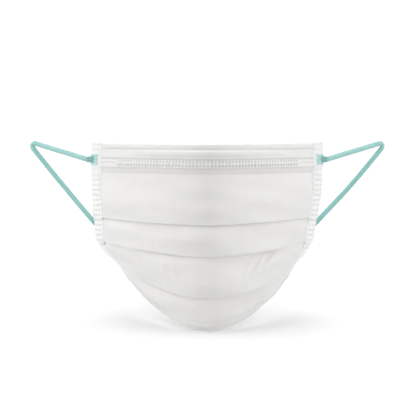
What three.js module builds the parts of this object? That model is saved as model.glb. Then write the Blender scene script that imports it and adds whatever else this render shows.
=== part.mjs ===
// A pleated surgical face mask, adult size, in the shape it has when it is worn.
// Millimetres, +Z up. The front of the mask faces -Y and +X is to the right of someone who
// looks at that front. The origin is the middle of the opening that the wearer's face goes into.
import * as THREE from "three";

// The flat sheet
const SHEET_WIDTH = 175; // side edge to side edge, along the cloth
const CLOTH_WALL = 1; // the layers of nonwoven, taken as one wall
const PLY_GAP = 0.3; // air between two folded layers
const PLEAT_AT_SIDE = 12; // how far a pleat is folded back at the side edges
const PLEAT_AT_MIDDLE = 8.6; // and at the middle, where the wearer has pulled it open

// The worn form
const HALF_SPAN = 70.4; // middle to side edge, straight across, at the top
const FORM_DEPTH = 53; // how far the front stands before the side edges
const FORM_HEIGHT = 111.7; // top edge to chin edge, down the middle
const TOP_ABOVE_ORIGIN = 40.2;
const BRIDGE_ROUNDING = 0.08; // how blunt the nose bridge is, as a share of the half span

// Weld at the sides: the layers are pressed flat there
const WELD_SQUEEZE = 0.45; // thickness left of what is pressed
const WELD_FADE = 5; // cloth length over which the pressed part swells again

// Hems over the top and bottom edges
const HEM_WALL = 1;
const NOSE_BAND_FRONT = 14.6; // from the top edge down the outer face, past both rows of weld dots
const NOSE_BAND_BACK = 17.8; // and down the inner face, where its end shows as a faint line
const CHIN_BAND_LEG = 5;
const CHIN_BAND_APPROACH = 2.5; // the panel runs flat for this far before it goes under the chin band

// Flat wire inside the nose band
const WIRE_LENGTH = 104;
const WIRE_WIDTH = 3.2;
const WIRE_THICKNESS = 0.9;
const WIRE_BELOW_TOP = 5.2; // top edge to the middle of the wire

// Strips folded over the side edges
const BINDING_WALL = 1;
const BINDING_LEG = 8.6;
const RIB_PITCH = 3.1; // from one weld rib to the next
const RIB_HEIGHT = 0.35;

// Elastic ear loops
const LOOP_WIDTH = 3.2;
const LOOP_SIDES = 8;
const LOOP_STEP = 1.2; // length of a step along the tube, in loop widths
const WELD_PAD_THICKNESS = 0.9;
const WELD_PAD_HEIGHT = 6.4;
const WELD_PAD_REACH = 5; // along the cloth, inwards from the side edge
const UPPER_PAD_DOWN = 10.4; // top corner to the middle of the upper pad, along the side edge
const LOWER_PAD_DOWN = 55.4;

const FIT_GAP = 0.3; // between pieces that touch

// How finely the cloth is cut into facets
const FREE_COLUMNS = 28; // between the side bindings
const WIRE_COLUMNS = 20;

// The form as level rows, from the top edge to the chin edge. A row is a bow: its two ends are
// on the side edges and its middle is the front of the mask. across is a share of HALF_SPAN,
// back and forward are shares of FORM_DEPTH, edge and middle are shares of FORM_HEIGHT from the
// top. point is 1 for a row that is pointed in front and 2 for a round one, and sag does the
// same for its droop.
const ROWS = [
  { name: "top", across: 1.0, back: 0.02, edge: 0.0, forward: 0.9, middle: 0.0, point: 1.3, sag: 2.0 },
  { name: "fold 1", across: 0.981, back: -0.05, edge: 0.411, forward: 1.0, middle: 0.431, point: 1.55, sag: 1.5 },
  { name: "fold 2", across: 0.949, back: -0.03, edge: 0.541, forward: 1.01, middle: 0.602, point: 1.7, sag: 1.4 },
  { name: "fold 3", across: 0.834, back: 0.08, edge: 0.642, forward: 0.98, middle: 0.825, point: 1.9, sag: 2.0 },
  { name: "chin", across: 0.711, back: 0.24, edge: 0.736, forward: 0.87, middle: 1.0, point: 2.1, sag: 2.05 },
];
const FOLDS = 3;

// Route of the right ear loop's middle line, from the pad on the front face, round the tip,
// to the pad on the inner face. The left loop is its mirror image.
const LOOP_ROUTE = [
  [72.7, -3.1, 30.0],
  [73.7, -1.9, 30.2],
  [75.6, 0.9, 30.6],
  [79.2, 6.6, 31.4],
  [85.0, 15.6, 32.8],
  [92.0, 26.4, 34.4],
  [99.0, 37.2, 36.0],
  [105.0, 46.4, 37.4],
  [108.9, 52.1, 38.3],
  [110.9, 54.6, 38.4],
  [112.0, 55.8, 37.4],
  [111.7, 55.2, 35.9],
  [110.3, 53.4, 34.2],
  [104.0, 45.8, 27.6],
  [96.0, 36.2, 19.2],
  [88.0, 26.6, 10.8],
  [80.0, 16.9, 2.3],
  [74.0, 9.8, -4.0],
  [70.0, 5.6, -8.2],
  [66.6, 3.2, -11.6],
  [64.0, 1.3, -13.9],
];

const HALF_SHEET = SHEET_WIDTH / 2;
const PLY_PITCH = CLOTH_WALL + PLY_GAP;
const HEM_OFFSET = CLOTH_WALL / 2 + FIT_GAP + HEM_WALL / 2;
const BINDING_TURN = 1.2 * BINDING_WALL; // the binding's fold is rounded over this length of cloth
const PANEL_EDGE = BINDING_TURN + BINDING_WALL / 2 + FIT_GAP; // where the panel ends inside the fold

// The value of one column of ROWS at v, where v is 0 at the top edge and 1 at the chin edge,
// along a smooth curve through the rows.
function rowValue(column, v) {
  let k = 0;
  while (k < ROWS.length - 2 && v > ROWS[k + 1].middle) k += 1;
  const slope = (i) => {
    const low = ROWS[Math.max(i - 1, 0)];
    const high = ROWS[Math.min(i + 1, ROWS.length - 1)];
    return (high[column] - low[column]) / (high.middle - low.middle);
  };
  const [a, b] = [ROWS[k], ROWS[k + 1]];
  const span = b.middle - a.middle;
  const t = (v - a.middle) / span;
  return (
    a[column] * (2 * t ** 3 - 3 * t ** 2 + 1) +
    slope(k) * span * (t ** 3 - 2 * t ** 2 + t) +
    b[column] * (3 * t ** 2 - 2 * t ** 3) +
    slope(k + 1) * span * (t ** 3 - t ** 2)
  );
}

// How far a row has fallen away from its middle at a share of the way across, 0 to 1.
function fall(share, exponent) {
  const soft = (a) => (a ** 2 + BRIDGE_ROUNDING ** 2) ** (exponent / 2) - BRIDGE_ROUNDING ** exponent;
  return soft(share) / soft(1);
}

// A row at v as points from the middle to the right side edge, with the length along it.
const ROW_STEPS = 24;
const knownRows = new Map();
function rowAt(v) {
  const key = v.toFixed(5);
  if (!knownRows.has(key)) {
    const across = HALF_SPAN * rowValue("across", v);
    const middle = new THREE.Vector2(-FORM_DEPTH * rowValue("forward", v), -FORM_HEIGHT * v);
    const edge = new THREE.Vector2(FORM_DEPTH * rowValue("back", v), -FORM_HEIGHT * rowValue("edge", v));
    const point = rowValue("point", v);
    const sag = rowValue("sag", v);
    const points = [];
    const lengths = [0];
    for (let i = 0; i <= ROW_STEPS; i += 1) {
      const share = i / ROW_STEPS;
      points.push(
        new THREE.Vector3(
          across * share,
          THREE.MathUtils.lerp(middle.x, edge.x, fall(share, point)),
          TOP_ABOVE_ORIGIN + THREE.MathUtils.lerp(middle.y, edge.y, fall(share, sag)),
        ),
      );
      if (i > 0) lengths.push(lengths[i - 1] + points[i].distanceTo(points[i - 1]));
    }
    knownRows.set(key, { points, lengths });
  }
  return knownRows.get(key);
}

// The point of the form at u, from -1 at the left side edge to 1 at the right one, and at v.
function formPoint(u, v) {
  const { points, lengths } = rowAt(v);
  const wanted = Math.abs(u) * lengths[ROW_STEPS];
  let i = 1;
  while (i < ROW_STEPS && lengths[i] < wanted) i += 1;
  const share = (wanted - lengths[i - 1]) / (lengths[i] - lengths[i - 1]);
  const found = points[i - 1].clone().lerp(points[i], share);
  if (u < 0) found.x = -found.x;
  return found;
}

// The direction that points into the mask, square to the form.
function inward(u, v) {
  const step = 0.02;
  const along = formPoint(Math.min(u + step, 1), v).sub(formPoint(Math.max(u - step, -1), v));
  const down = formPoint(u, Math.min(v + step, 1)).sub(formPoint(u, Math.max(v - step, 0)));
  return along.cross(down).normalize();
}

// Distances down the form at u from the top edge to each row.
const knownColumns = new Map();
function columnAt(u) {
  const key = u.toFixed(5);
  if (!knownColumns.has(key)) {
    const downs = [0];
    const steps = 4;
    for (let k = 1; k < ROWS.length; k += 1) {
      let length = 0;
      for (let i = 0; i < steps; i += 1) {
        const from = THREE.MathUtils.lerp(ROWS[k - 1].middle, ROWS[k].middle, i / steps);
        const to = THREE.MathUtils.lerp(ROWS[k - 1].middle, ROWS[k].middle, (i + 1) / steps);
        length += formPoint(u, from).distanceTo(formPoint(u, to));
      }
      downs.push(downs[k - 1] + length);
    }
    knownColumns.set(key, downs);
  }
  return knownColumns.get(key);
}

// The place of a spot on column u that lies down from the top edge, and inset into the mask.
function place(u, down, inset) {
  const downs = columnAt(u);
  let k = 1;
  while (k < ROWS.length - 1 && down > downs[k]) k += 1;
  const share = (down - downs[k - 1]) / (downs[k] - downs[k - 1]);
  const v = THREE.MathUtils.clamp(THREE.MathUtils.lerp(ROWS[k - 1].middle, ROWS[k].middle, share), 0, 1);
  return formPoint(u, v).addScaledVector(inward(u, v), inset);
}

// Thickness left at u: 1 on the free cloth, WELD_SQUEEZE under the side bindings.
const PRESSED_TO = BINDING_LEG + FIT_GAP;
function pressed(u) {
  const fromEdge = (1 - Math.abs(u)) * HALF_SHEET;
  const free = THREE.MathUtils.smoothstep(fromEdge, PRESSED_TO, PRESSED_TO + WELD_FADE);
  return THREE.MathUtils.lerp(WELD_SQUEEZE, 1, free);
}

// Where the cloth is cut into columns: evenly between the bindings, and at the ends of each
// pressed length.
const sideColumns = [PANEL_EDGE, BINDING_LEG / 2, PRESSED_TO].map((edge) => 1 - edge / HALF_SHEET);
const freeReach = 1 - (PRESSED_TO + WELD_FADE) / HALF_SHEET;
const COLUMN_AT = [
  ...sideColumns.map((u) => -u),
  ...Array.from({ length: FREE_COLUMNS + 1 }, (_, i) => freeReach * ((2 * i) / FREE_COLUMNS - 1)),
  ...sideColumns.reverse(),
];
const COLUMNS = COLUMN_AT.length - 1;

// A strip of cloth is a flat box that is bent into place. Its long way is cut into stations,
// and at each one the box's two faces lie half a wall to either side of the middle path.
function bentStrip(columns, stations, at) {
  const box = new THREE.BoxGeometry(1, 1, 1, columns, stations, 1);
  const corner = box.getAttribute("position");
  for (let n = 0; n < corner.count; n += 1) {
    const column = Math.round((corner.getX(n) + 0.5) * columns);
    const station = Math.round((0.5 - corner.getY(n)) * stations);
    const spot = at(column, station, Math.sign(corner.getZ(n)));
    corner.setXYZ(n, spot.x, spot.y, spot.z);
  }
  box.computeVertexNormals();
  return box;
}

// A point of a folded path, moved off it by a distance along its mitred normal.
function offPath(path, i, distance) {
  const here = path[i];
  const before = here.clone().sub(path[Math.max(i - 1, 0)]);
  const after = path[Math.min(i + 1, path.length - 1)].clone().sub(here);
  if (i === 0) before.copy(after);
  if (i === path.length - 1) after.copy(before);
  const normal = (way) => new THREE.Vector2(way.y, -way.x).normalize();
  const mitre = normal(before).add(normal(after));
  return here.clone().addScaledVector(mitre, distance / (0.5 * mitre.lengthSq()));
}

// The panel's path at u as (down, inset) points: three times down, back up and down again.
function panelPath(u) {
  const downs = columnAt(u);
  const squeeze = pressed(u);
  const pitch = PLY_PITCH * squeeze;
  const round = pitch / 2;
  const pleat = THREE.MathUtils.lerp(PLEAT_AT_MIDDLE, PLEAT_AT_SIDE, Math.abs(u));
  const start = WIRE_BELOW_TOP + WIRE_WIDTH / 2 + FIT_GAP;
  const path = [];
  for (let k = 1; k <= FOLDS + 1; k += 1) {
    const from = k === 1 ? start : downs[k - 1];
    const to = downs[k];
    const settled = k > FOLDS ? to - CHIN_BAND_LEG - CHIN_BAND_APPROACH : to;
    const swing = (down) => (k === 1 ? 0 : 2 * pitch * Math.max(0, (settled - down) / (settled - from)));
    const add = (down, layer) => path.push(new THREE.Vector2(down, swing(down) + layer * pitch));
    const visible = k === 1 ? 3 : 1;
    for (let i = 0; i < visible; i += 1) add(THREE.MathUtils.lerp(from, to - pleat, i / visible), 0);
    if (k > FOLDS) {
      add((from + settled) / 2, 0);
      add(settled, 0);
      add(to - HEM_WALL - HEM_OFFSET / 2 - FIT_GAP, 0);
      break;
    }
    add(to - pleat / 2, 0);
    add(to - round, 0);
    add(to, 0.5);
    add(to - round, 1);
    add(to - pleat / 2, 1);
    add(to - pleat + round, 1);
    add(to - pleat, 1.5);
    add(to - pleat + round, 2);
    add(to - pleat / 2, 2);
  }
  return path;
}

function panelGeometry() {
  const paths = COLUMN_AT.map(panelPath);
  return bentStrip(COLUMNS, paths[0].length - 1, (column, station, face) => {
    const u = COLUMN_AT[column];
    const spot = offPath(paths[column], station, (face * CLOTH_WALL * pressed(u)) / 2);
    return place(u, spot.x, spot.y);
  });
}

// A hem folded over an edge. legs are how far it runs down the outer and the inner face, and
// edgeDown gives the place of the edge on a column.
function hemGeometry(frontLeg, backLeg, edgeDown, way) {
  return bentStrip(COLUMNS, 6, (column, station, face) => {
    const u = COLUMN_AT[column];
    const squeeze = pressed(u);
    const side = HEM_OFFSET * squeeze;
    const edge = (HEM_WALL / 2) * squeeze;
    const around = [
      [backLeg, side],
      [backLeg / 2, side],
      [edge + side / 2, side],
      [edge, 0],
      [edge + side / 2, -side],
      [frontLeg / 2, -side],
      [frontLeg, -side],
    ].map(([leg, inset]) => new THREE.Vector2(edgeDown(u) + way * leg, inset));
    const path = way > 0 ? around : around.reverse();
    const spot = offPath(path, station, (face * HEM_WALL * squeeze) / 2);
    return place(u, spot.x, spot.y);
  });
}

function wireGeometry() {
  const reach = WIRE_LENGTH / SHEET_WIDTH;
  return bentStrip(WIRE_COLUMNS, 1, (column, station, face) => {
    const u = reach * ((2 * column) / WIRE_COLUMNS - 1);
    const down = WIRE_BELOW_TOP + (station - 0.5) * WIRE_WIDTH;
    return place(u, down, (-face * WIRE_THICKNESS) / 2);
  });
}

// The binding's front leg clears the hems, and its back leg clears the stacked pleats.
const BINDING_FRONT = -(WELD_SQUEEZE * (HEM_OFFSET + HEM_WALL / 2) + FIT_GAP + BINDING_WALL / 2);
const BINDING_BACK = WELD_SQUEEZE * (4 * PLY_PITCH + CLOTH_WALL / 2) + FIT_GAP + BINDING_WALL / 2;

function bindingGeometry(side) {
  const length = columnAt(1)[ROWS.length - 1];
  const ribs = Math.round(length / RIB_PITCH);
  const stations = 2 * ribs;
  const middle = (BINDING_FRONT + BINDING_BACK) / 2;
  const path = [
    [BINDING_LEG, BINDING_FRONT],
    [BINDING_LEG / 2, BINDING_FRONT],
    [BINDING_TURN, BINDING_FRONT],
    [BINDING_WALL / 2, middle],
    [BINDING_TURN, BINDING_BACK],
    [BINDING_LEG, BINDING_BACK],
  ].map(([edge, inset]) => new THREE.Vector2(-edge, inset));
  return bentStrip(path.length - 1, stations, (column, station, face) => {
    const i = side > 0 ? column : path.length - 1 - column;
    const rib = i === 1 && face > 0 ? (station % 2) * RIB_HEIGHT : 0;
    const spot = offPath(path, i, (face * BINDING_WALL) / 2 + rib);
    const u = 1 + spot.x / HALF_SHEET;
    return place(side * u, (columnAt(side * u)[ROWS.length - 1] * station) / stations, spot.y);
  });
}

// A pad is a loop's end, pressed flat onto the binding.
function padGeometry(side, down, inset) {
  return bentStrip(2, 2, (column, station, face) => {
    const edge = BINDING_WALL + (WELD_PAD_REACH * (side > 0 ? 2 - column : column)) / 2;
    const u = 1 - edge / HALF_SHEET;
    const height = down + (WELD_PAD_HEIGHT * (station - 1)) / 2;
    return place(side * u, height, inset - (face * WELD_PAD_THICKNESS) / 2);
  });
}

function loopGeometry(side) {
  const route = new THREE.CatmullRomCurve3(
    LOOP_ROUTE.map(([x, y, z]) => new THREE.Vector3(side * x, y, z)),
    false,
    "centripetal",
  );
  const section = new THREE.Shape();
  for (let i = 0; i < LOOP_SIDES; i += 1) {
    const angle = (2 * Math.PI * (i + 0.5)) / LOOP_SIDES;
    const [x, y] = [(Math.cos(angle) * LOOP_WIDTH) / 2, (Math.sin(angle) * LOOP_WIDTH) / 2];
    if (i === 0) section.moveTo(x, y);
    else section.lineTo(x, y);
  }
  section.closePath();
  const steps = Math.round(route.getLength() / (LOOP_STEP * LOOP_WIDTH));
  return new THREE.ExtrudeGeometry(section, { steps, extrudePath: route, bevelEnabled: false });
}

const nonwoven = () => new THREE.MeshStandardMaterial({ color: 0xe4e4e1, roughness: 0.9, metalness: 0 });
const pressedNonwoven = () => new THREE.MeshStandardMaterial({ color: 0xeeeeec, roughness: 0.75, metalness: 0 });
const elastic = () => new THREE.MeshStandardMaterial({ color: 0x97d0cc, roughness: 0.8, metalness: 0 });
const tinnedSteel = () => new THREE.MeshStandardMaterial({ color: 0xc9cac8, roughness: 0.4, metalness: 1 });

const mask = new THREE.Group();
function add(name, geometry, material) {
  const piece = new THREE.Mesh(geometry, material);
  piece.name = name;
  mask.add(piece);
}

const chinDown = (u) => columnAt(u)[ROWS.length - 1];
add("pleated_panel", panelGeometry(), nonwoven());
add("nose_band", hemGeometry(NOSE_BAND_FRONT, NOSE_BAND_BACK, () => 0, 1), nonwoven());
add("nose_wire", wireGeometry(), tinnedSteel());
add("chin_band", hemGeometry(CHIN_BAND_LEG, CHIN_BAND_LEG, chinDown, -1), nonwoven());
for (const [name, side] of [
  ["left", -1],
  ["right", 1],
]) {
  const padOff = BINDING_WALL / 2 + FIT_GAP + WELD_PAD_THICKNESS / 2;
  add(`side_binding_${name}`, bindingGeometry(side), pressedNonwoven());
  add(`upper_weld_${name}`, padGeometry(side, UPPER_PAD_DOWN, BINDING_FRONT - RIB_HEIGHT - padOff), elastic());
  add(`lower_weld_${name}`, padGeometry(side, LOWER_PAD_DOWN, BINDING_BACK + padOff), elastic());
  add(`ear_loop_${name}`, loopGeometry(side), elastic());
}

export default mask;
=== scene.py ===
# %% [markdown]
# # A pleated surgical face mask
# The real mask is one flat sheet of nonwoven cloth, folded into three pleats, hemmed at the top
# and bottom and bound at the sides, with an elastic loop welded to each side. Here it stands in
# the shape that a face gives it, with nothing inside. The construction and its sizes come ready
# as a set of plain solids, the frame. This lesson dresses that frame: every piece is made again
# with its folds, welds and stitches, and takes the place of its plain solid.

import math
from collections import namedtuple

import bpy
import numpy as np
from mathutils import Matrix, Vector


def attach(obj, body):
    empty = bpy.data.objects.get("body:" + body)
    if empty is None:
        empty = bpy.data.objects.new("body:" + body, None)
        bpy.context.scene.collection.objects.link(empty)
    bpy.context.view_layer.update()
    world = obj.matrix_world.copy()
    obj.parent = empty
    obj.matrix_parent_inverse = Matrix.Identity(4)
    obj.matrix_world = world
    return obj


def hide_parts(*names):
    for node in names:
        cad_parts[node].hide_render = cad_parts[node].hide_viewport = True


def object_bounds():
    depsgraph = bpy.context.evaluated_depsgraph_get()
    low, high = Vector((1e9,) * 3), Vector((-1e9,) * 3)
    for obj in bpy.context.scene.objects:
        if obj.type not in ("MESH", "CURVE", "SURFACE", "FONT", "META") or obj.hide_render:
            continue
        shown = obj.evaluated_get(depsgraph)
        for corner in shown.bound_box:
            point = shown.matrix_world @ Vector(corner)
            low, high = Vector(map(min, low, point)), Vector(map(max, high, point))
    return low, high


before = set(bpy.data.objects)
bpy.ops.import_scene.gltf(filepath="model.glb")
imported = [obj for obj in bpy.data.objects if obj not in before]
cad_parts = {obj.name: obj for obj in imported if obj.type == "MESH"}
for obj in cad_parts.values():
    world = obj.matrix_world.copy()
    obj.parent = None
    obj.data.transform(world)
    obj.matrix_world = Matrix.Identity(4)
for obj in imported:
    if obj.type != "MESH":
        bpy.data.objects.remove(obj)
cad_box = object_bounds()
MM = 0.001
print("solids in the frame:", len(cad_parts))
print("box in mm:", [[round(c / MM, 1) for c in corner] for corner in cad_box])

# %% [markdown]
# ## The camera
# The photograph was taken from straight in front with a long lens, so both loops have the same
# size and the top edge is almost a line. The camera stands a little above the mask, because the
# floor shows behind the chin. Its lens is worked out from the size of one pixel on the mask, which
# makes the render and the photograph the same size.

# %% The camera
PHOTO_WIDTH = 416
PIXEL = 0.62 * MM
SENSOR = 36
CAMERA_DISTANCE = 1.3
CAMERA_RISE = math.radians(3)

bpy.ops.object.select_all(action="DESELECT")
bpy.ops.object.camera_add(
    location=(0, -CAMERA_DISTANCE * math.cos(CAMERA_RISE), CAMERA_DISTANCE * math.sin(CAMERA_RISE)),
    rotation=(math.pi / 2 - CAMERA_RISE, 0, 0),
)
camera = bpy.context.object
camera.name = "camera"
camera.data.sensor_width = SENSOR
camera.data.lens = SENSOR * CAMERA_DISTANCE / (PHOTO_WIDTH * PIXEL)
bpy.context.scene.camera = camera
bpy.context.scene.view_settings.view_transform = "Standard"
print("lens in mm:", round(camera.data.lens, 1))

# %% [markdown]
# ## The worn form
# Cloth can't be drawn as free shapes, because it keeps its length. So the worn form is described
# first, as a surface that every piece lies on. It is a stack of level rows. A row is a bow with its
# ends on the side edges and its middle in front of the mouth. Between the rows, each number
# runs along a smooth curve. The same table made the solids of the frame, so the two agree.

# %% Rows of the worn form
HALF_SPAN = 70.4 * MM
FORM_DEPTH = 53 * MM
FORM_HEIGHT = 111.7 * MM
TOP_ABOVE_ORIGIN = 40.2 * MM
BRIDGE_ROUNDING = 0.08
SHEET_WIDTH = 175 * MM
HALF_SHEET = SHEET_WIDTH / 2

FormRow = namedtuple("FormRow", "name across back edge forward middle point sag")
ROWS = [
    FormRow("top", 1.0, 0.02, 0.0, 0.9, 0.0, 1.3, 2.0),
    FormRow("fold 1", 0.981, -0.05, 0.411, 1.0, 0.431, 1.55, 1.5),
    FormRow("fold 2", 0.949, -0.03, 0.541, 1.01, 0.602, 1.7, 1.4),
    FormRow("fold 3", 0.834, 0.08, 0.642, 0.98, 0.825, 1.9, 2.0),
    FormRow("chin", 0.711, 0.24, 0.736, 0.87, 1.0, 2.1, 2.05),
]
ROW_MIDDLE = np.array([row.middle for row in ROWS])


def hermite(start, start_slope, end, end_slope, t):
    """A value on the smooth curve from a start to an end, at a share t of the way."""
    return (
        start * (2 * t**3 - 3 * t**2 + 1)
        + start_slope * (t**3 - 2 * t**2 + t)
        + end * (3 * t**2 - 2 * t**3)
        + end_slope * (t**3 - t**2)
    )


def row_value(column, v):
    """One column of the table at v, from 0 at the top edge to 1 at the chin, along a smooth curve."""
    value = np.array([getattr(row, column) for row in ROWS])
    last = len(ROWS) - 1
    low = np.maximum(np.arange(last + 1) - 1, 0)
    high = np.minimum(np.arange(last + 1) + 1, last)
    slope = (value[high] - value[low]) / (ROW_MIDDLE[high] - ROW_MIDDLE[low])
    k = np.clip(np.searchsorted(ROW_MIDDLE, v, side="left") - 1, 0, last - 1)
    span = ROW_MIDDLE[k + 1] - ROW_MIDDLE[k]
    t = (v - ROW_MIDDLE[k]) / span
    return hermite(value[k], slope[k] * span, value[k + 1], slope[k + 1] * span, t)


def rounded_power(share, exponent):
    """A power of the share that starts round instead of pointed, as cloth over the nose does."""
    return (share**2 + BRIDGE_ROUNDING**2) ** (exponent / 2) - BRIDGE_ROUNDING**exponent


def fall(share, exponent):
    """How far a row has left its middle at a share of the way to the side edge."""
    return rounded_power(share, exponent) / rounded_power(1, exponent)


def row_point(share, v):
    """The point of the right half of the form at a share of the way across, on the row at v."""
    bend = fall(share, row_value("point", v))
    droop = fall(share, row_value("sag", v))
    forward, back = -FORM_DEPTH * row_value("forward", v), FORM_DEPTH * row_value("back", v)
    middle, edge = -FORM_HEIGHT * v, -FORM_HEIGHT * row_value("edge", v)
    return np.stack(
        [
            HALF_SPAN * row_value("across", v) * share,
            forward + (back - forward) * bend,
            TOP_ABOVE_ORIGIN + middle + (edge - middle) * droop,
        ],
        axis=-1,
    )


# %% [markdown]
# A spot on the cloth is told by two lengths: how far it lies from the middle, along the cloth, and
# how far below the top edge. A dense table of the form turns these into a point and into the
# direction that looks out of the cloth there. It is made once and then only read.

# %% Table of the form
V_STEPS, U_STEPS, SHARE_STEPS = 400, 350, 240

v_at = np.linspace(0, 1, V_STEPS + 1)
u_at = np.linspace(0, 1, U_STEPS + 1)
share_at = np.linspace(0, 1, SHARE_STEPS + 1)
fine = row_point(share_at[None, :], v_at[:, None])
along = np.zeros(fine.shape[:2])
along[:, 1:] = np.cumsum(np.linalg.norm(np.diff(fine, axis=1), axis=2), axis=1)
share_of = np.array([np.interp(u_at * a[-1], a, share_at) for a in along])
form = row_point(share_of, v_at[:, None])
mirrored = np.concatenate([form[:, 1:2] * (-1, 1, 1), form], axis=1)
across_way = np.gradient(mirrored, axis=1)[:, 1:]
down_way = np.gradient(form, axis=0)
outward = np.cross(down_way, across_way)
outward /= np.linalg.norm(outward, axis=2, keepdims=True)
down_at = np.zeros(form.shape[:2])
down_at[1:] = np.cumsum(np.linalg.norm(np.diff(form, axis=0), axis=2), axis=0)


def column_of(table, u):
    """The table's values down the columns at u, by mixing the two nearest columns."""
    at = np.clip(np.abs(u) * U_STEPS, 0, U_STEPS - 1e-6)
    left = at.astype(int)
    mix = (at - left).reshape((1, -1) + (1,) * (table.ndim - 2))
    return table[:, left] * (1 - mix) + table[:, left + 1] * mix


def row_downs(u):
    """Distances down the cloth from the top edge to each row, for every column in u."""
    down = column_of(down_at, u)
    return np.array([[np.interp(m, v_at, column) for column in down.T] for m in ROW_MIDDLE])


half_rows = along[:, -1] / MM
print("half rows, mm:", round(half_rows.min(), 1), "to", round(half_rows.max(), 1))
print("side edge, mm:", round(down_at[-1, -1] / MM, 1), "middle, mm:", round(down_at[-1, 0] / MM, 1))

# %% [markdown]
# ## Soft unevenness
# Ironed pleats and a hand that opened them leave long, flat waves in the cloth, mostly level, and a
# few short puckers below the folds. The waves are a sum of sines from a fixed seed. The puckers are
# placed where the photograph shows them. Both push every layer alike, so nothing cuts
# through its neighbour.

# %% Waves and puckers
rng = np.random.default_rng(11)
WAVES = 14
WAVE_ACROSS = (60, 150)
WAVE_DOWN = (9, 30)
WAVES_END_ASIDE = (70 * MM, 80 * MM)
WAVES_START_DOWN = (4 * MM, 24 * MM)
wave_across = rng.uniform(*WAVE_ACROSS, WAVES) * MM
wave_down = rng.uniform(*WAVE_DOWN, WAVES) * MM
wave_turn = rng.uniform(0, 2 * math.pi, WAVES)
wave_side = rng.choice([-1, 1], WAVES)
WAVE_HEIGHT = 0.12 * MM

Pucker = namedtuple("Pucker", "x down lean length width height")
PUCKERS = [
    Pucker(34, 74, 40, 14, 2.4, 0.75),
    Pucker(26, 76, 28, 14, 2.4, 0.45),
    Pucker(43, 71, 52, 13, 2.6, 0.9),
    Pucker(-31, 76, -13, 17, 2.6, 0.55),
    Pucker(-24, 76, -8, 14, 2.2, 0.5),
    Pucker(-43, 74, -31, 11, 2.2, 0.35),
    Pucker(22, 53, 8, 12, 4, 0.2),
    Pucker(-14, 52, -4, 10, 4, 0.15),
    Pucker(-70, 70, 62, 10, 2.2, 0.45),
    Pucker(-73, 78, 48, 8, 2.2, 0.4),
    Pucker(71, 70, -62, 10, 2.2, 0.35),
    Pucker(74, 79, -45, 8, 2.2, 0.25),
    Pucker(-62, 82, 40, 9, 2.0, 0.5),
    Pucker(63, 81, -40, 9, 2.4, 0.3),
]


def smooth(low, high, value):
    """0 below low, 1 above high and a soft step between them."""
    t = np.clip((value - low) / (high - low), 0, 1)
    return t * t * (3 - 2 * t)


def unevenness(x, down):
    """How far the cloth stands out of the smooth form, in metres."""
    out = np.zeros(np.broadcast(x, down).shape)
    for across, level, turn, side in zip(wave_across, wave_down, wave_turn, wave_side):
        phase = 2 * math.pi * (side * x / across + down / level) + turn
        out = out + WAVE_HEIGHT * np.sin(phase)
    out = out * (1 - smooth(*WAVES_END_ASIDE, np.abs(x))) * smooth(*WAVES_START_DOWN, down)
    for p in PUCKERS:
        lean = math.radians(p.lean)
        dx, dd = x - p.x * MM, down - p.down * MM
        run = (dd * math.cos(lean) - dx * math.sin(lean)) / (p.length * MM)
        off = (dx * math.cos(lean) + dd * math.sin(lean)) / (p.width * MM)
        out = out + p.height * MM * np.exp(-((2 * run) ** 2)) * off * np.exp(0.5 - off**2)
    return out


# %% [markdown]
# A worn mask is never quite symmetric. In the photograph its edges stand up to 3.4 mm away from the
# even form. The table says how far, in mm at a few heights, and askew() moves the points.

# %% A little askew
SIDES = {"left": -1, "right": 1}

Shift = namedtuple("Shift", "height left right")
SHIFTS = [
    Shift(-70, 0.0, 0.0),
    Shift(-56, -0.8, 0.4),
    Shift(-51, -1.7, 1.0),
    Shift(-46, -1.6, 1.1),
    Shift(-41, -1.0, 0.1),
    Shift(-36, -0.8, -1.2),
    Shift(-31, -0.9, -0.5),
    Shift(-26, -3.4, -0.8),
    Shift(-21, -2.4, -1.7),
    Shift(-13, -1.9, -1.8),
    Shift(0, -2.0, -0.6),
    Shift(8, -2.0, 0.5),
    Shift(20, -2.0, 0.9),
    Shift(39, -1.3, 0.5),
]
SHIFT_BLUR = 5
SHIFT_FULL_FROM = 55 * MM
shift_heights = np.arange(-75, 45, 0.5) * MM


def blurred(values):
    """A table of shifts with its corners rounded off."""
    reach = 3 * SHIFT_BLUR
    bell = np.exp(-((np.arange(-reach, reach + 1) / SHIFT_BLUR) ** 2) / 2)
    return np.convolve(np.pad(values, reach, mode="edge"), bell / bell.sum(), "valid")


shift_table = {
    side: blurred(
        np.interp(shift_heights / MM, [s.height for s in SHIFTS], [getattr(s, side) for s in SHIFTS])
    )
    for side in SIDES
}


def askew(x, z):
    """How far a point at x moves sideways at height z, in metres."""
    left, right = (np.interp(z, shift_heights, shift_table[side]) for side in SIDES)
    return np.where(x < 0, left, right) * MM * smooth(0, SHIFT_FULL_FROM, np.abs(x))


def place(u, down, out):
    """Points at columns u, from arrays with a row for each station. Past the top edge they go up."""
    points, ways, downs = column_of(form, u), column_of(outward, u), column_of(down_at, u)
    result = np.empty(down.shape + (3,))
    raised = out + unevenness(u * HALF_SHEET, down)
    for i in range(len(u)):
        v = np.interp(down[:, i], downs[:, i], v_at)
        for axis in range(3):
            spot = np.interp(v, v_at, points[:, i, axis])
            way = np.interp(v, v_at, ways[:, i, axis])
            result[:, i, axis] = spot + raised[:, i] * way
    result[:, :, 0] *= np.where(u < 0, -1, 1)
    result[:, :, 2] += np.maximum(0, -down)
    result[:, :, 0] += askew(result[:, :, 0], result[:, :, 2])
    return result


print("waves:", WAVES, "puckers:", len(PUCKERS))
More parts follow.
